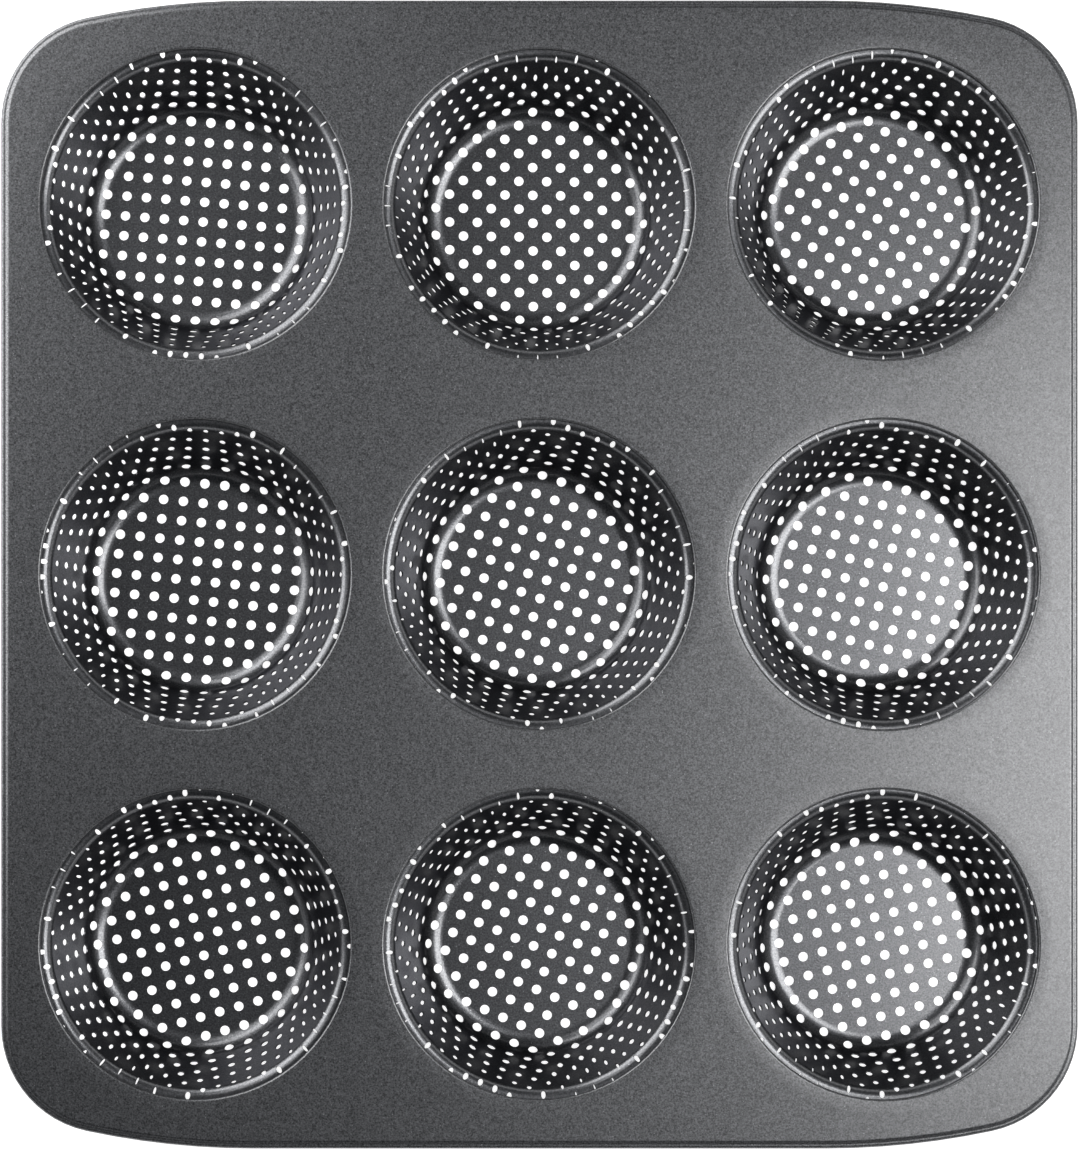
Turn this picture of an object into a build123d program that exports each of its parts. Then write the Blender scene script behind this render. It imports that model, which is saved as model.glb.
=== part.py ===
"""Perforated bun pan: a rolled-rim tray plate with nine deep-drawn cups locked into it by folded seams.

The pan stands on the nine cup bases, which lie on z = 0. X runs across the pan and Y along it.
"""
import os
from math import atan2, cos, hypot, radians, sin, tan

from build123d import *

os.makedirs("parts", exist_ok=True)

# Sheet steel and its clearances, in millimetres and degrees
sheet = 0.5
seam_gap = 0.05

# Overall size of the pan
pan_width = 355.0
pan_length = 378.6
pan_height = 35.0

# Outline of the tray plate: a tight corner arc, then a long gentle bow into each end
corner_radius = 35.5
corner_turn = 78.0
end_bow_radius = 264.0

# Rolled rim: the sheet steps down, then curls under
rim_width = 3.4
rim_step_radius = 1.1
rim_step_turn = 32.0
rim_ledge = 0.35
curl_radius = 1.0
curl_turn = 205.0
curl_tail = 0.6

# Places of the cups
cup_columns = 3
cup_rows = 3
cup_pitch_across = 113.4
cup_pitch_along = 122.0
column_names = ("left", "centre", "right")
row_names = ("front", "middle", "back")

# Dish of the plate round each cup, and the folded seam that closes it
opening_radius = 51.1
dish_radius = 55.5
dish_bend = 60.0
dish_slope = 1.5
seam_overlap = 1.6

# Inside form of a cup, as the corners of its profile and the bends that round them
base_corner_radius = 36.5
mouth_corner_radius = 48.3
base_bend = 7.0
lip_bend = 3.6

# Punched holes; the punched grid is a little longer one way than the other
hole_diameter = 3.4
hole_pitch_across = 6.59
hole_pitch_along = 6.73
hole_sides = 8
hole_margin = 0.2

# Openings of the wall, as a plain grid with the open share of the punched sheet
wall_columns = 24
wall_rows = 5
wall_row_pitch = 5.2
wall_hole_width = 3.7
wall_hole_height = 3.4

# How the punched grid lies on each cup: its turn in degrees, and its shift as shares of the two pitches
grid_turns = {
    "cup_back_left": -4.5,
    "cup_back_centre": 44.7,
    "cup_back_right": 57.9,
    "cup_middle_left": 84.5,
    "cup_middle_centre": 69.9,
    "cup_middle_right": -13.4,
    "cup_front_left": 105.7,
    "cup_front_centre": 66.8,
    "cup_front_right": 105.1,
}
grid_shift_shares = {
    "cup_back_left": (0.12, -0.14),
    "cup_back_centre": (-0.26, -0.04),
    "cup_back_right": (0.19, -0.27),
    "cup_middle_left": (-0.09, 0.26),
    "cup_middle_centre": (0.15, 0.48),
    "cup_middle_right": (-0.30, -0.22),
    "cup_front_left": (0.19, 0.07),
    "cup_front_centre": (-0.33, -0.01),
    "cup_front_right": (0.07, -0.48),
}

# The seam stacks plate, cup, plate, cup; its upper fold is a nose round the cup's leaf
nose_radius = (3 * sheet + 2 * seam_gap) / 2
fold_radius = nose_radius - sheet
slope = radians(dish_slope)
nose_axis_radius = opening_radius + nose_radius
nose_top_radius = nose_axis_radius - nose_radius * sin(slope)
dish_drop = dish_bend * (1 - cos(slope))
slope_run = dish_radius - dish_bend * sin(slope) - nose_top_radius
slope_drop = slope_run * sin(slope) / cos(slope)
nose_axis_height = pan_height - dish_drop - slope_drop - nose_radius * cos(slope)


def seam_place(along, above):
    """Radius and height of a point given along and above the sloping seam, from the axis of its nose."""
    return (
        nose_axis_radius + along * cos(slope) - above * sin(slope),
        nose_axis_height + along * sin(slope) + above * cos(slope),
    )


# A cup's flange lies under the plate's hem, and its mouth corner is where flange and wall would meet
under_hem = -(nose_radius + seam_gap)
mouth_along = (mouth_corner_radius - seam_place(0, under_hem)[0]) / cos(slope)
mouth_corner = seam_place(mouth_along, under_hem)

# The wall runs straight between its bends; its openings are centred there, and their cutter passes right through
wall_turn = atan2(mouth_corner[1] - sheet, mouth_corner[0] - base_corner_radius)
straight_low = sheet + base_bend * (1 - cos(wall_turn))
straight_high = mouth_corner[1] - lip_bend * tan((wall_turn - slope) / 2) * sin(wall_turn)
wall_middle = (straight_low + straight_high) / 2
wall_mean_radius = (base_corner_radius + mouth_corner[0]) / 2
wall_spread = mouth_corner[0] - base_corner_radius + 2 * sheet

# The punched disc of the base stops just short of its bend
base_disc_radius = base_corner_radius - base_bend * tan(wall_turn / 2) - hole_margin


def outline_sketch():
    """The plate's outline as seen from above."""
    half_width = pan_width / 2
    half_length = pan_length / 2
    bow_turn = 90 - corner_turn
    bow_rise = end_bow_radius * (1 - cos(radians(bow_turn)))
    corner_start = half_length - bow_rise - corner_radius * sin(radians(corner_turn))
    with BuildSketch() as outline:
        with BuildLine():
            side = Line((half_width, 0), (half_width, corner_start))
            corner = JernArc(side @ 1, side % 1, corner_radius, corner_turn)
            bow = JernArc(corner @ 1, corner % 1, end_bow_radius, bow_turn)
            Line(bow @ 1, (0, half_length))
            mirror(about=Plane.YZ)
            mirror(about=Plane.XZ)
        make_face()
    return outline.sketch


def cup_profile():
    """Section of a cup outside its base disc: bend, wall, lip, then the leaf folded over the plate's hem."""
    fold_start = seam_gap + seam_overlap
    with BuildSketch(Plane.XZ) as profile:
        with BuildLine():
            FilletPolyline(
                (base_disc_radius, sheet),
                (base_corner_radius, sheet),
                mouth_corner,
                seam_place(fold_start, under_hem),
                radius=(base_bend, lip_bend),
            )
            fold_at = seam_place(fold_start, under_hem)
            fold = JernArc(fold_at, (cos(slope), sin(slope)), fold_radius, 180)
            Line(fold @ 1, fold @ 1 + (fold % 1) * seam_overlap)
            offset(amount=sheet, side=Side.RIGHT)
        make_face()
    return profile.sketch


def plate_profile():
    """Section of the plate round one opening: soft dish, slope, and the hem folded under."""
    with BuildSketch(Plane.XZ) as profile:
        with BuildLine():
            dish = JernArc((dish_radius, pan_height), (-1, 0), dish_bend, dish_slope)
            leaf = Line(dish @ 1, seam_place(0, nose_radius))
            nose = JernArc(leaf @ 1, leaf % 1, nose_radius, 180)
            Line(nose @ 1, nose @ 1 + (nose % 1) * seam_overlap)
            offset(amount=sheet, side=Side.LEFT)
        make_face()
    return profile.sketch


def rim_profile():
    """Section of the rolled rim at the right-hand side of the pan."""
    rim_start = pan_width / 2 - rim_width
    step_radius = rim_step_radius + sheet
    step_length = (rim_step_radius + step_radius) * sin(radians(rim_step_turn))
    flat = rim_width - step_length - rim_ledge - curl_radius
    with BuildSketch(Plane.XZ) as profile:
        with BuildLine():
            top = Line((rim_start, pan_height), (rim_start + flat, pan_height))
            down = JernArc(top @ 1, top % 1, step_radius, -rim_step_turn)
            level = JernArc(down @ 1, down % 1, rim_step_radius, rim_step_turn)
            ledge = Line(level @ 1, level @ 1 + (level % 1) * rim_ledge)
            curl = JernArc(ledge @ 1, ledge % 1, curl_radius, -curl_turn)
            Line(curl @ 1, curl @ 1 + (curl % 1) * curl_tail)
            offset(amount=sheet, side=Side.RIGHT)
        make_face()
    return profile.sketch


def base_holes(name):
    """Places of the holes that lie wholly on the base disc."""
    limit = base_disc_radius - hole_diameter / 2 - hole_margin
    turn = radians(grid_turns[name])
    shift_across, shift_along = grid_shift_shares[name]
    reach = int(limit / hole_pitch_across) + 2
    places = []
    for i in range(-reach, reach + 1):
        for j in range(-reach, reach + 1):
            u = (i + shift_across) * hole_pitch_across
            v = (j + shift_along) * hole_pitch_along
            if hypot(u, v) < limit:
                places.append((u * cos(turn) - v * sin(turn), u * sin(turn) + v * cos(turn)))
    return places


# Tray plate: flat sheet with nine openings, each ended by its dish and hem, inside the rolled rim
outline = outline_sketch()

with BuildPart() as dish_ring:
    add(plate_profile())
    revolve(axis=Axis.Z)

with BuildPart() as rim:
    with BuildLine() as rim_line:
        add(outline.wire())
    add(rim_profile())
    sweep(path=rim_line.wire())

with BuildPart() as tray_plate:
    with BuildSketch(Plane.XY.offset(pan_height - sheet)):
        add(outline)
        offset(amount=-rim_width, mode=Mode.REPLACE)
        with GridLocations(cup_pitch_across, cup_pitch_along, cup_columns, cup_rows):
            Circle(dish_radius, mode=Mode.SUBTRACT)
    extrude(amount=sheet)
    add(rim.part)
    with GridLocations(cup_pitch_across, cup_pitch_along, cup_columns, cup_rows):
        add(dish_ring.part)

tray_plate.part.label = "tray_plate"
export_step(tray_plate.part, "parts/tray_plate.step")

# Cups: one deep-drawn wall, and for each place a base punched with its own turn of the grid
with BuildPart() as drawn_wall:
    add(cup_profile())
    revolve(axis=Axis.Z)
    for wall_row in range(wall_rows):
        rise = wall_middle + (wall_row - (wall_rows - 1) / 2) * wall_row_pitch
        with Locations((0, 0, rise)):
            with PolarLocations(wall_mean_radius, wall_columns):
                Box(wall_spread, wall_hole_width, wall_hole_height, mode=Mode.SUBTRACT)

for row in range(cup_rows):
    for column in range(cup_columns):
        name = f"cup_{row_names[row]}_{column_names[column]}"
        across = (column - (cup_columns - 1) / 2) * cup_pitch_across
        along = (row - (cup_rows - 1) / 2) * cup_pitch_along
        with BuildPart() as base:
            with BuildSketch():
                Circle(base_disc_radius)
                with Locations(*base_holes(name)):
                    RegularPolygon(hole_diameter / 2, hole_sides, mode=Mode.SUBTRACT)
            extrude(amount=sheet)
        with BuildPart(Plane(origin=(across, along, 0))) as cup:
            add(drawn_wall.part)
            add(base.part)
        cup.part.label = name
        export_step(cup.part, f"parts/{name}.step")
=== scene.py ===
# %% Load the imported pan
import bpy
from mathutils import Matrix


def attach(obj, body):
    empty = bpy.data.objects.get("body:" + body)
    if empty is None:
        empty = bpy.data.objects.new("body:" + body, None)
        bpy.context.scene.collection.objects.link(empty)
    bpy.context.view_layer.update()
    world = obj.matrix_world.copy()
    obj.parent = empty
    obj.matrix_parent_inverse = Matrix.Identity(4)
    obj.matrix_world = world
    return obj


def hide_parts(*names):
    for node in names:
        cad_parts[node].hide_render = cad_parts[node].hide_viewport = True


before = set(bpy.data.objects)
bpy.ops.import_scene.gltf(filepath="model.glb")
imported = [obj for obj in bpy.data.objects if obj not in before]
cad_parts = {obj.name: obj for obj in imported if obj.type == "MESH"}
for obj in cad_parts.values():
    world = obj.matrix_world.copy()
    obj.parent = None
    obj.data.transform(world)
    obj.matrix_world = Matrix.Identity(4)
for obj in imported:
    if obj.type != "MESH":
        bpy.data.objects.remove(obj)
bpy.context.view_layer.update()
print("CAD nodes:", sorted(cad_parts))

# %% [markdown]
# The pan is a flat steel tray with nine round cups of perforated sheet, each locked into the tray by a
# folded seam. The tray plate is kept from the CAD model, because its shape is already exact, and only gets
# a finish here. The cups are made again, because the CAD cups have a plain grid of openings in their walls,
# while the real sheet is perforated all over. Every length is in metres and in the CAD frame: X across, Y
# along, Z up, with the cup bases on Z = 0.

# %% Tools and sizes shared with the CAD model
from math import atan2, cos, exp, hypot, pi, radians, sin, tan

import bmesh
import bpy
from mathutils import Matrix, Vector

mm = 0.001
sheet = 0.5 * mm
pan_height = 35.0 * mm
cup_pitch_across = 113.4 * mm
cup_pitch_along = 122.0 * mm

# %% [markdown]
# The photograph looks straight down, over a point left of and below the middle of the tray. How much
# smaller the cup bases look than their mouths gives the camera's distance, about 1.26 m for a pan 35 mm
# high. The tray stays square in the frame, as it does when a photographer shifts the lens, so the camera
# here looks straight down too and its shift moves the tray into the frame. The focal length follows from
# the height of the frame at the tray.

# %% Camera
photo_width, photo_height = 1080, 1150
photo_scale = 0.3295 * mm
pan_centre_in_photo = (539.5, 574.3)
camera_foot_in_photo = (407.5, 767.5)
camera_distance = 1.257
level_below_top = 0.3 * mm

camera_data = bpy.data.cameras.new("camera")
camera_data.sensor_fit = "VERTICAL"
camera_data.sensor_height = 36
camera_data.lens = camera_data.sensor_height * camera_distance / (photo_height * photo_scale)
camera_data.shift_x = (photo_width / 2 - camera_foot_in_photo[0]) / photo_height
camera_data.shift_y = (camera_foot_in_photo[1] - photo_height / 2) / photo_height
camera = bpy.data.objects.new("camera", camera_data)
camera.location = (
    (camera_foot_in_photo[0] - pan_centre_in_photo[0]) * photo_scale,
    (pan_centre_in_photo[1] - camera_foot_in_photo[1]) * photo_scale,
    pan_height - level_below_top + camera_distance,
)
bpy.context.scene.collection.objects.link(camera)
bpy.context.scene.camera = camera
print("camera at", [round(c, 3) for c in camera.location], "lens", round(camera_data.lens, 1), "mm")

# %% [markdown]
# The seam between tray and cup is four layers of sheet: tray, cup, tray, cup. The tray's edge is folded
# under itself round a nose, and the cup's edge is folded over the tray's folded edge. All of it slopes a
# little with the dish of the tray, so places in the seam are given along and above the slope. These are the
# sizes of the CAD model, so the new cups fit the tray that is kept.

# %% Seam and corners of a cup
opening_radius = 51.1 * mm
seam_gap = 0.05 * mm
seam_overlap = 1.6 * mm
base_corner_radius = 36.5 * mm
mouth_corner_radius = 48.3 * mm
base_bend = 7.0 * mm
lip_bend = 3.6 * mm
dish_radius = 55.5 * mm
dish_bend = 60.0 * mm
slope = radians(1.5)

nose_radius = (3 * sheet + 2 * seam_gap) / 2
fold_radius = nose_radius - sheet
nose_axis_radius = opening_radius + nose_radius
slope_run = dish_radius - dish_bend * sin(slope) - (nose_axis_radius - nose_radius * sin(slope))
nose_axis_height = (
    pan_height - dish_bend * (1 - cos(slope)) - slope_run * tan(slope) - nose_radius * cos(slope)
)


def seam_place(along, above):
    """Radius and height of a point given along and above the sloping seam, from the axis of its nose."""
    return (
        nose_axis_radius + along * cos(slope) - above * sin(slope),
        nose_axis_height + along * sin(slope) + above * cos(slope),
    )


under_hem = -(nose_radius + seam_gap)
mouth_along = (mouth_corner_radius - seam_place(0, under_hem)[0]) / cos(slope)
mouth_corner = seam_place(mouth_along, under_hem)
fold_start = seam_place(seam_gap + seam_overlap, under_hem)
print("mouth corner at radius and height", [round(c / mm, 2) for c in mouth_corner], "mm")

# %% [markdown]
# A cup is drawn from a flat blank: a punch pushes the sheet down, so that it lies flat in the base, bends
# up into a slanting wall, bends out into a flange, and is then folded back over the edge of the tray. The
# path below is the middle of the sheet in section, as a list of straight runs and arcs. Each piece of the
# path knows its length, so that a distance walked from the middle of the cup gives a place on the section
# and the direction across the sheet. A narrow ring on each side of the base bend and of the lip keeps the
# smooth shading of the bends off the flats.

# %% Section of a cup
half = sheet / 2
ring = 0.3 * mm
wall_turn = atan2(mouth_corner[1] - sheet, mouth_corner[0] - base_corner_radius)
base_tangent = base_bend * tan(wall_turn / 2)
lip_turn = wall_turn - slope
lip_tangent = lip_bend * tan(lip_turn / 2)
wall_between_corners = hypot(mouth_corner[0] - base_corner_radius, mouth_corner[1] - sheet)
wall_length = wall_between_corners - base_tangent - lip_tangent
flange_length = hypot(fold_start[0] - mouth_corner[0], fold_start[1] - mouth_corner[1]) - lip_tangent
flat_radius = base_corner_radius - base_tangent

# each piece: name, length along the middle of the sheet, turn in radians (left is positive), steps
section = (
    ("base", flat_radius - ring, 0.0, 1),
    ("edge of the base", ring, 0.0, 1),
    ("base bend", (base_bend + half) * wall_turn, wall_turn, 12),
    ("foot of the wall", ring, 0.0, 1),
    ("wall", wall_length - 2 * ring, 0.0, 3),
    ("head of the wall", ring, 0.0, 1),
    ("lip", (lip_bend - half) * lip_turn, -lip_turn, 10),
    ("flange", flange_length, 0.0, 1),
    ("fold", (fold_radius + half) * pi, pi, 10),
    ("leaf", seam_overlap, 0.0, 1),
)
blank_radius = sum(length for name, length, turn, steps in section)
print("blank radius", round(blank_radius / mm, 2), "mm, wall", round(wall_length / mm, 2), "mm")


def section_point(walked):
    """Radius, height and heading of the middle of the sheet after a walk from the cup's axis."""
    radius, height, heading = 0.0, half, 0.0
    for name, length, turn, steps in section:
        step = min(walked, length)
        if turn == 0.0:
            radius += step * cos(heading)
            height += step * sin(heading)
        else:
            bend = length / turn
            end = heading + step / bend
            radius += bend * (sin(end) - sin(heading))
            height += bend * (cos(heading) - cos(end))
            heading = end
        walked -= step
        if walked <= 0:
            break
    return radius, height, heading


# %% [markdown]
# The blank is a disc with rings of vertices where the sheet will bend, and none where it stays flat or
# straight. It is spun from a single line of vertices and given its thickness while it is still flat, which
# is simpler and cleaner than thickening a bent shape.

# %% Flat blank
blank_steps = 180
merge_distance = sheet / 1000


def spin_line(bm, line, steps, merge):
    """Joins a line of vertices, spins it into a full surface about Z, and closes the seam and the pole."""
    for inner, outer in zip(line, line[1:]):
        bm.edges.new((inner, outer))
    bmesh.ops.spin(
        bm, geom=bm.verts[:] + bm.edges[:], cent=(0, 0, 0), axis=(0, 0, 1), angle=2 * pi, steps=steps,
        use_merge=True,
    )
    bmesh.ops.remove_doubles(bm, verts=bm.verts, dist=merge)
    bmesh.ops.recalc_face_normals(bm, faces=bm.faces)


def make_blank():
    """A flat disc of sheet about its own middle, with a ring of vertices at each step of the section."""
    bm = bmesh.new()
    radius = 0.0
    line = [bm.verts.new((0, 0, -half))]
    for name, length, turn, steps in section:
        for step in range(steps):
            radius += length / steps
            line.append(bm.verts.new((radius, 0, -half)))
    spin_line(bm, line, blank_steps, merge_distance)
    grown = bmesh.ops.extrude_face_region(bm, geom=bm.faces[:], use_keep_orig=True)
    top = [part for part in grown["geom"] if isinstance(part, bmesh.types.BMVert)]
    bmesh.ops.translate(bm, verts=top, vec=(0, 0, sheet))
    bmesh.ops.recalc_face_normals(bm, faces=bm.faces)
    return bm


blank = make_blank()
closed = all(edge.is_manifold for edge in blank.edges)
print("blank:", len(blank.verts), "vertices,", len(blank.faces), "faces,", "closed" if closed else "open")

# %% [markdown]
# The holes look as if the sheet was punched flat, in a square grid that is a little longer one way, and
# then drawn. Drawing pulls the holes of the wall: they move outwards, more along the sheet's diagonals than
# along its rows. The blank is laid out after the pull, so this step says where a point of the punched grid
# ends up on it. Reach is how far past the flat base a point lies, as a share of stretch_reach.

# %% Stretch of the sheet
stretch_reach = 20.0 * mm
wall_stretch = 1.035
wall_stretch_growth = 0.035
row_pull = (0.206 * mm, -0.495 * mm)
row_turn = (0.0297, -0.0107)


def stretched(across, along):
    """Where a point of the punched grid lies once the sheet is drawn, still laid out flat."""
    distance = hypot(across, along)
    angle = atan2(along, across)
    if distance <= flat_radius:
        return distance, angle
    reach = (distance - flat_radius) / stretch_reach
    walked = flat_radius + stretch_reach * (wall_stretch * reach + wall_stretch_growth * reach ** 2)
    walked += (row_pull[0] * reach + row_pull[1] * reach ** 2) * cos(4 * angle)
    angle += (row_turn[0] * reach + row_turn[1] * reach ** 2) * sin(4 * angle)
    return walked, angle


far_point = flat_radius + stretch_reach
row_walk = stretched(far_point, 0.0)[0]
print("a point", round(far_point / mm, 1), "mm out in a row is drawn to", round(row_walk / mm, 1), "mm")

# %% [markdown]
# The rim of the blank also has to fit a smaller circle, and it gives way where it is weakest, at the holes.
# So they close up, little along the rows and into narrow slits on the diagonals. Late in the draw, at the
# lip, the slits get shorter again. The shares below say how long and how wide each hole is left.

# %% Squeeze of the holes
row_closing = 0.125
diagonal_closing = 0.40
diagonal_gain = 0.25
closing_start = 1.2
closing_run = 0.45
late_closing = 0.25
late_diagonal = 0.20


def squeezed(across, along):
    """Length and width of a drawn hole, as shares, along and across the line to the cup's axis."""
    reach = max(0.0, (hypot(across, along) - flat_radius) / stretch_reach)
    diagonal = max(0.0, -cos(4 * atan2(along, across)))
    late = min(1.0, max(0.0, (reach - closing_start) / closing_run)) ** 2
    width = exp(-(row_closing + diagonal_closing * diagonal) * reach ** 2)
    length = (1 + diagonal_gain * diagonal * reach) * (1 - (late_closing + late_diagonal * diagonal) * late)
    return length, width


diagonal_point = far_point * cos(pi / 4)
print("hole shares on a diagonal:", [round(share, 2) for share in squeezed(diagonal_point, diagonal_point)])

# %% [markdown]
# A punch starts as a true circle in the grid, is squeezed by its place, and then every corner of it is
# moved by the stretch, so that each hole stretches with the metal round it. All the punches of a cup are
# prisms in one mesh, so that a cup takes one cut.

# %% Punches of a cup
hole_diameter = 3.25 * mm
hole_sides = 16
hole_pitch_across = 6.588 * mm
hole_pitch_along = 6.715 * mm
punch_depth = 4 * sheet


def make_punches(shift_across, shift_along):
    """The punches of one cup, as closed prisms standing on the flat blank."""
    bm = bmesh.new()
    reach = int(blank_radius / hole_pitch_across) + 2
    last = blank_radius - hole_diameter / 2
    for i in range(-reach, reach + 1):
        for j in range(-reach, reach + 1):
            across = (i + shift_across) * hole_pitch_across
            along = (j + shift_along) * hole_pitch_along
            if stretched(across, along)[0] > last:
                continue
            length, width = squeezed(across, along)
            outwards = Matrix.Rotation(atan2(along, across), 4, "Z")
            shape = Matrix.Translation((across, along, 0)) @ outwards @ Matrix.Diagonal((length, width, 1, 1))
            bmesh.ops.create_cone(
                bm, cap_ends=True, segments=hole_sides, radius1=hole_diameter / 2, radius2=hole_diameter / 2,
                depth=punch_depth, matrix=shape,
            )
    for vert in bm.verts:
        walked, angle = stretched(vert.co.x, vert.co.y)
        vert.co.x = walked * cos(angle)
        vert.co.y = walked * sin(angle)
    return bm


open_share = pi / 4 * hole_diameter ** 2 / (hole_pitch_across * hole_pitch_along)
print("open share of the punched sheet:", round(open_share, 3))

# %% [markdown]
# Punching is a boolean difference on the flat blank, where the solver has only plane faces to cut.

# %% Punch
def mesh_object(bm, name):
    """An object that holds a bmesh, linked to the scene."""
    mesh = bpy.data.meshes.new(name)
    bm.to_mesh(mesh)
    bm.free()
    made = bpy.data.objects.new(name, mesh)
    bpy.context.scene.collection.objects.link(made)
    return made


def punch(sheet_object, punches):
    """Cuts the punches out of the sheet and deletes them."""
    cut = sheet_object.modifiers.new("punch", "BOOLEAN")
    cut.operation = "DIFFERENCE"
    cut.solver = "MANIFOLD"
    cut.object = punches
    evaluated = sheet_object.evaluated_get(bpy.context.evaluated_depsgraph_get())
    punched = bpy.data.meshes.new_from_object(evaluated)
    sheet_object.modifiers.clear()
    flat = sheet_object.data
    sheet_object.data = punched
    bpy.data.meshes.remove(flat)
    spent = punches.data
    bpy.data.objects.remove(punches)
    bpy.data.meshes.remove(spent)


# %% [markdown]
# Drawing then moves each vertex from its distance on the blank to its place on the section, and from one
# side of the sheet to the same side of the bent sheet. The order is that of a press, and it is also the
# easy one for the mesh. Many vertices lie at the same distance, so each distance is walked only once.

# %% Draw
sharp_angle = radians(40)
walk_digits = 5


def draw(cup, turn, across, along):
    """Bends the punched blank into a cup, turns its grid and puts it in its place."""
    walks = {}
    for vert in cup.data.vertices:
        walked = hypot(vert.co.x, vert.co.y)
        key = round(walked / mm, walk_digits)
        if key not in walks:
            walks[key] = section_point(walked)
        radius, height, heading = walks[key]
        radius -= vert.co.z * sin(heading)
        height += vert.co.z * cos(heading)
        angle = atan2(vert.co.y, vert.co.x) + turn
        vert.co = (across + radius * cos(angle), along + radius * sin(angle), height)
    for face in cup.data.polygons:
        face.use_smooth = True
    cup.data.set_sharp_from_angle(angle=sharp_angle)


# %% [markdown]
# The grid lies differently in each cup of the real pan, perhaps because the blanks go into the press as
# they come. The turns, in degrees, and the shifts, as shares of the hole pitch, are the least-squares fit
# of a plain grid to the centres of the base holes in the photograph, cup by cup, rounded.

# %% Nine cups
column_names = ("left", "centre", "right")
row_names = ("front", "middle", "back")
grid_turns = {
    "cup_back_left": -4.5,
    "cup_back_centre": 44.7,
    "cup_back_right": 57.9,
    "cup_middle_left": 84.5,
    "cup_middle_centre": 69.9,
    "cup_middle_right": -13.4,
    "cup_front_left": 105.7,
    "cup_front_centre": 66.8,
    "cup_front_right": 105.1,
}
grid_shift_shares = {
    "cup_back_left": (0.12, -0.14),
    "cup_back_centre": (-0.26, -0.04),
    "cup_back_right": (0.19, -0.27),
    "cup_middle_left": (-0.09, 0.26),
    "cup_middle_centre": (0.15, 0.48),
    "cup_middle_right": (-0.30, -0.22),
    "cup_front_left": (0.19, 0.07),
    "cup_front_centre": (-0.33, -0.01),
    "cup_front_right": (0.07, -0.48),
}


def make_cup(name, across, along):
    """One perforated cup, in place of the CAD node of the same place."""
    cup = mesh_object(blank.copy(), name + "_punched")
    punches = mesh_object(make_punches(*grid_shift_shares[name]), name + "_punches")
    punch(cup, punches)
    draw(cup, radians(grid_turns[name]), across, along)
    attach(cup, "root")
    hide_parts(name)
    return cup


cups = []
for row, row_name in enumerate(row_names):
    for column, column_name in enumerate(column_names):
        name = f"cup_{row_name}_{column_name}"
        across = (column - 1) * cup_pitch_across
        along = (row - 1) * cup_pitch_along
        cups.append(make_cup(name, across, along))
        print(name, len(cups[-1].data.polygons), "faces")
blank.free()

# %% [markdown]
# A node tree is mostly links, so four small helpers keep the materials short: one joins two sockets, and
# the others place a node that spreads a range to 0 to 1, a node that computes, and a node that blends two
# colours.

# %% Helpers for node trees
def link(tree, output, target):
    """Joins two sockets."""
    tree.links.new(output, target)


def add_range(tree, value, low, high):
    """The output of a Map Range node that takes low to 0 and high to 1."""
    node = tree.nodes.new("ShaderNodeMapRange")
    node.inputs["From Min"].default_value = low
    node.inputs["From Max"].default_value = high
    link(tree, value, node.inputs["Value"])
    return node.outputs["Result"]


def add_math(tree, operation, first, second):
    """The output of a Math node of two sockets."""
    node = tree.nodes.new("ShaderNodeMath")
    node.operation = operation
    link(tree, first, node.inputs[0])
    link(tree, second, node.inputs[1])
    return node.outputs["Value"]


def add_blend(tree, factor, first):
    """A Mix node for colours, with its factor and first colour joined."""
    node = tree.nodes.new("ShaderNodeMix")
    node.data_type = "RGBA"
    link(tree, factor, node.inputs["Factor"])
    link(tree, first, node.inputs["A"])
    return node


# %% [markdown]
# Tray and cups have the same kind of finish: a dark grey non-stick coating with fine metal flakes in it, so
# it has a grain, tiny bright flecks and a slightly uneven gloss. Both materials take these from one node
# group, with their own values. The group only gives a colour, a roughness and a height, and the shader
# itself stays in the material. The flecks are Voronoi cells: only the few with the highest random value
# show, as small soft dots.

# %% Grain of the coating
grain_detail = 2.0
grain_roughness = 0.6
cloud_scale = 14.0
cloud_detail = 3.0
noise_spread = (0.3, 0.7)
flake_scale = 1900.0
flake_choice = (0.80, 1.0)
flake_edge = (0.45, 0.15)
flake_colour = (0.75, 0.76, 0.80, 1.0)


def add_sockets(group):
    """Gives the group its named inputs and outputs."""
    for name in ("Dark", "Light"):
        group.interface.new_socket(name=name, in_out="INPUT", socket_type="NodeSocketColor")
    for name in ("Grain scale", "Fleck", "Low roughness", "High roughness"):
        group.interface.new_socket(name=name, in_out="INPUT", socket_type="NodeSocketFloat")
    group.interface.new_socket(name="Colour", in_out="OUTPUT", socket_type="NodeSocketColor")
    for name in ("Roughness", "Height"):
        group.interface.new_socket(name=name, in_out="OUTPUT", socket_type="NodeSocketFloat")


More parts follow.
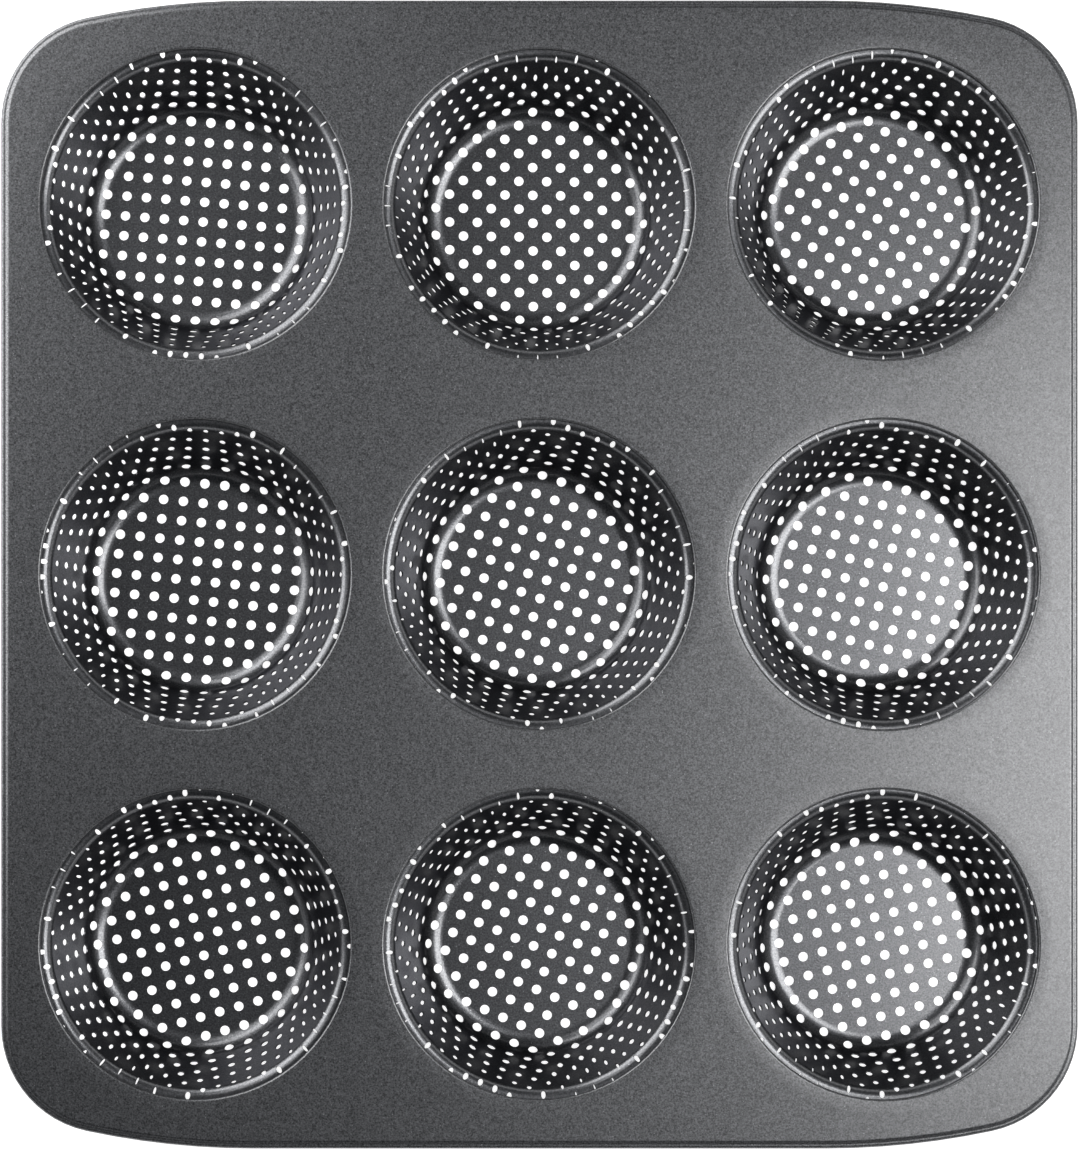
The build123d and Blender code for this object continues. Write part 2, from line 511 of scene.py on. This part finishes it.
def make_grain_group():
    """Node group for sprayed metallic coating: colour, roughness and height from object coordinates."""
    group = bpy.data.node_groups.new("sprayed_coating", "ShaderNodeTree")
    add_sockets(group)
    entry = group.nodes.new("NodeGroupInput")
    leave = group.nodes.new("NodeGroupOutput")
    where = group.nodes.new("ShaderNodeTexCoord").outputs["Object"]

    grain = group.nodes.new("ShaderNodeTexNoise")
    grain.inputs["Detail"].default_value = grain_detail
    grain.inputs["Roughness"].default_value = grain_roughness
    link(group, where, grain.inputs["Vector"])
    link(group, entry.outputs["Grain scale"], grain.inputs["Scale"])
    shade = add_blend(group, add_range(group, grain.outputs["Fac"], *noise_spread), entry.outputs["Dark"])
    link(group, entry.outputs["Light"], shade.inputs["B"])

    flake = group.nodes.new("ShaderNodeTexVoronoi")
    flake.inputs["Scale"].default_value = flake_scale
    link(group, where, flake.inputs["Vector"])
    chosen = add_range(group, flake.outputs["Color"], *flake_choice)
    near = add_range(group, flake.outputs["Distance"], *flake_edge)
    spot = add_math(group, "MULTIPLY", chosen, near)
    amount = add_math(group, "MULTIPLY", spot, entry.outputs["Fleck"])
    sparkle = add_blend(group, amount, shade.outputs["Result"])
    sparkle.inputs["B"].default_value = flake_colour

    cloud = group.nodes.new("ShaderNodeTexNoise")
    cloud.inputs["Scale"].default_value = cloud_scale
    cloud.inputs["Detail"].default_value = cloud_detail
    link(group, where, cloud.inputs["Vector"])
    gloss = group.nodes.new("ShaderNodeMapRange")
    gloss.inputs["From Min"].default_value = noise_spread[0]
    gloss.inputs["From Max"].default_value = noise_spread[1]
    link(group, cloud.outputs["Fac"], gloss.inputs["Value"])
    link(group, entry.outputs["Low roughness"], gloss.inputs["To Min"])
    link(group, entry.outputs["High roughness"], gloss.inputs["To Max"])

    link(group, sparkle.outputs["Result"], leave.inputs["Colour"])
    link(group, gloss.outputs["Result"], leave.inputs["Roughness"])
    link(group, grain.outputs["Fac"], leave.inputs["Height"])
    return group


grain_group = make_grain_group()
print("node group:", grain_group.name, "with", len(grain_group.nodes), "nodes")

# %% [markdown]
# In the photograph the grain is strong where the coating is dark and fades in the highlight, which one
# layer can't do. So the finish has two: rough dark flakes below, which carry the grain, and a smoother
# clear varnish above, which carries the broad highlight at the right. The cups' varnish is glossier than
# the tray's, so their bends draw bright lines. The tint of the flakes at a slant is kept low, so that the
# steep walls stay dark.

# %% Coating materials
relief_depth = 0.06 * mm


def make_coating(
    name, dark, light, grain_scale, fleck, low_roughness, high_roughness, bump, edge_tint, varnish,
    varnish_roughness, varnish_ior,
):
    """Dark metallic non-stick coating, with its grain from the shared group."""
    material = bpy.data.materials.new(name)
    material.use_nodes = True
    tree = material.node_tree
    shader = tree.nodes["Principled BSDF"]
    shader.inputs["Metallic"].default_value = 1.0
    shader.inputs["Specular Tint"].default_value = (*edge_tint, 1.0)
    shader.inputs["Coat Weight"].default_value = varnish
    shader.inputs["Coat Roughness"].default_value = varnish_roughness
    shader.inputs["Coat IOR"].default_value = varnish_ior
    group = tree.nodes.new("ShaderNodeGroup")
    group.node_tree = grain_group
    group.inputs["Dark"].default_value = (*dark, 1.0)
    group.inputs["Light"].default_value = (*light, 1.0)
    group.inputs["Grain scale"].default_value = grain_scale
    group.inputs["Fleck"].default_value = fleck
    group.inputs["Low roughness"].default_value = low_roughness
    group.inputs["High roughness"].default_value = high_roughness
    relief = tree.nodes.new("ShaderNodeBump")
    relief.inputs["Strength"].default_value = bump
    relief.inputs["Distance"].default_value = relief_depth
    link(tree, group.outputs["Colour"], shader.inputs["Base Color"])
    link(tree, group.outputs["Roughness"], shader.inputs["Roughness"])
    link(tree, group.outputs["Height"], relief.inputs["Height"])
    link(tree, relief.outputs["Normal"], shader.inputs["Normal"])
    return material


plate_coating = make_coating(
    "plate_coating", dark=(0.024, 0.025, 0.027), light=(0.162, 0.165, 0.174), grain_scale=1900.0, fleck=0.5,
    low_roughness=0.44, high_roughness=0.48, bump=1.0, edge_tint=(0.50, 0.50, 0.53),
    varnish=1.0, varnish_roughness=0.27, varnish_ior=1.68,
)
cup_coating = make_coating(
    "cup_coating", dark=(0.064, 0.065, 0.070), light=(0.163, 0.166, 0.175), grain_scale=1700.0, fleck=0.6,
    low_roughness=0.32, high_roughness=0.36, bump=0.8, edge_tint=(0.30, 0.30, 0.36),
    varnish=0.95, varnish_roughness=0.16, varnish_ior=1.5,
)
print("materials:", plate_coating.name, "and", cup_coating.name)

# %% [markdown]
# The tray keeps its CAD mesh, so its material goes into the slot that it already has. A new piece has no
# slot yet, and gets one with its material.

# %% Coat the tray and the cups
def coat(piece, material):
    """Gives a new piece a material in its only slot."""
    piece.data.materials.clear()
    piece.data.materials.append(material)


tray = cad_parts["tray_plate"]
tray.material_slots[0].material = plate_coating
for cup in cups:
    coat(cup, cup_coating)
print("coated the tray and", len(cups), "cups")

# %% [markdown]
# The pan is shown on a plain white floor, which turns up into a low wall far away on all sides, so that a
# low view has no dark horizon. It is spun from one line: flat, then a quarter circle, then straight up.

# %% Floor
floor_radius = 3.0
cove_radius = 1.0
cove_steps = 8
wall_height = 0.8
floor_steps = 96
floor_merge_distance = 0.5 * mm


def make_floor():
    """Round floor with a cove and a low wall, spun from one line."""
    bm = bmesh.new()
    line = [bm.verts.new((0, 0, 0)), bm.verts.new((floor_radius, 0, 0))]
    for step in range(1, cove_steps + 1):
        angle = pi / 2 * step / cove_steps
        out, up = cove_radius * sin(angle), cove_radius * (1 - cos(angle))
        line.append(bm.verts.new((floor_radius + out, 0, up)))
    line.append(bm.verts.new((floor_radius + cove_radius, 0, cove_radius + wall_height)))
    spin_line(bm, line, floor_steps, floor_merge_distance)
    made = mesh_object(bm, "floor")
    for face in made.data.polygons:
        face.use_smooth = True
    return made


floor = make_floor()
print("floor radius", floor_radius, "m with", len(floor.data.polygons), "faces")

# %% [markdown]
# The photograph's background is pure white, also through the holes, and shows no shadow. So the floor glows
# nearly white to the camera and to reflections, and for the light that falls on it it stays an ordinary pale
# floor, whose shadow is all but lost in that white. Right under the pan, in a disc where the pan's shadow
# lies, reflections see no glow: this is a painted shadow that only reflections see. Without it the walls of
# the cups would catch the glow through the holes and turn pale, and in the photograph the upper right ones
# are nearly black.

# %% Material of the floor
floor_colour = (0.6, 0.6, 0.6, 1.0)
floor_glow = 0.93
painted_shadow_radius = 0.18


def make_floor_material():
    """Pale floor that shows as white to the camera, to metal and to glass, with a painted shadow for metal in
    a disc right under the pan.
    """
    material = bpy.data.materials.new("floor_white")
    material.use_nodes = True
    tree = material.node_tree
    tree.nodes.clear()
    path = tree.nodes.new("ShaderNodeLightPath")
    where = tree.nodes.new("ShaderNodeTexCoord")
    from_middle = tree.nodes.new("ShaderNodeVectorMath")
    from_middle.operation = "LENGTH"
    link(tree, where.outputs["Object"], from_middle.inputs[0])
    # painted shadow: the glow for reflections is nothing under the pan and fades in only outside a disc round
    # it
    clear = add_range(tree, from_middle.outputs["Value"], painted_shadow_radius, 2 * painted_shadow_radius)
    mirrored = add_math(tree, "MULTIPLY", path.outputs["Is Glossy Ray"], clear)
    seen = add_math(tree, "MAXIMUM", path.outputs["Is Camera Ray"], mirrored)
    seen_or_through = add_math(tree, "MAXIMUM", seen, path.outputs["Is Transmission Ray"])
    strength = tree.nodes.new("ShaderNodeMath")
    strength.operation = "MULTIPLY"
    strength.inputs[1].default_value = floor_glow
    link(tree, seen_or_through, strength.inputs[0])

    pale = tree.nodes.new("ShaderNodeBsdfDiffuse")
    pale.inputs["Color"].default_value = floor_colour
    glow = tree.nodes.new("ShaderNodeEmission")
    link(tree, strength.outputs["Value"], glow.inputs["Strength"])
    both = tree.nodes.new("ShaderNodeAddShader")
    link(tree, pale.outputs["BSDF"], both.inputs[0])
    link(tree, glow.outputs["Emission"], both.inputs[1])
    out = tree.nodes.new("ShaderNodeOutputMaterial")
    link(tree, both.outputs["Shader"], out.inputs["Surface"])
    return material


coat(floor, make_floor_material())
print("floor material:", floor.data.materials[0].name)

# %% [markdown]
# Three soft boxes light the pan. The first hangs high at the right, so that its reflection just reaches the
# right-hand edge of the tray and fades out over it towards the left. The second is a large panel that
# stands low and near at the back left, and draws the bright lines on the right-hand bends of the cups. The
# third hangs at the back left and lightens the dark side.

# %% Soft boxes
def softbox(name, place, size_across, size_along, power):
    """An area lamp that faces the middle of the pan."""
    lamp = bpy.data.lights.new(name, "AREA")
    lamp.shape = "RECTANGLE"
    lamp.size = size_across
    lamp.size_y = size_along
    lamp.energy = power
    made = bpy.data.objects.new(name, lamp)
    made.location = place
    made.rotation_euler = Vector(place).to_track_quat("Z", "Y").to_euler()
    bpy.context.scene.collection.objects.link(made)


softbox("lamp_right", place=(0.69, -0.03, 1.20), size_across=0.58, size_along=0.82, power=10.7)
softbox("lamp_left", place=(-0.48, 0.31, 0.27), size_across=0.84, size_along=0.44, power=4.25)
softbox("lamp_back", place=(-0.64, 0.54, 1.00), size_across=0.70, size_along=0.70, power=3.0)

# %% [markdown]
# The room gives the rest of the light, evenly, dimly and a little blue, so that no side of the pan is quite
# black. Standard is the plain view transform, which shows a colour about as it is written.

# %% Room
room_colour = (0.80, 0.88, 1.0, 1.0)
room_strength = 0.035

world = bpy.data.worlds.new("room")
world.use_nodes = True
background = world.node_tree.nodes["Background"]
background.inputs["Color"].default_value = room_colour
background.inputs["Strength"].default_value = room_strength
bpy.context.scene.world = world
bpy.context.scene.view_settings.view_transform = "Standard"
print("room strength:", room_strength)
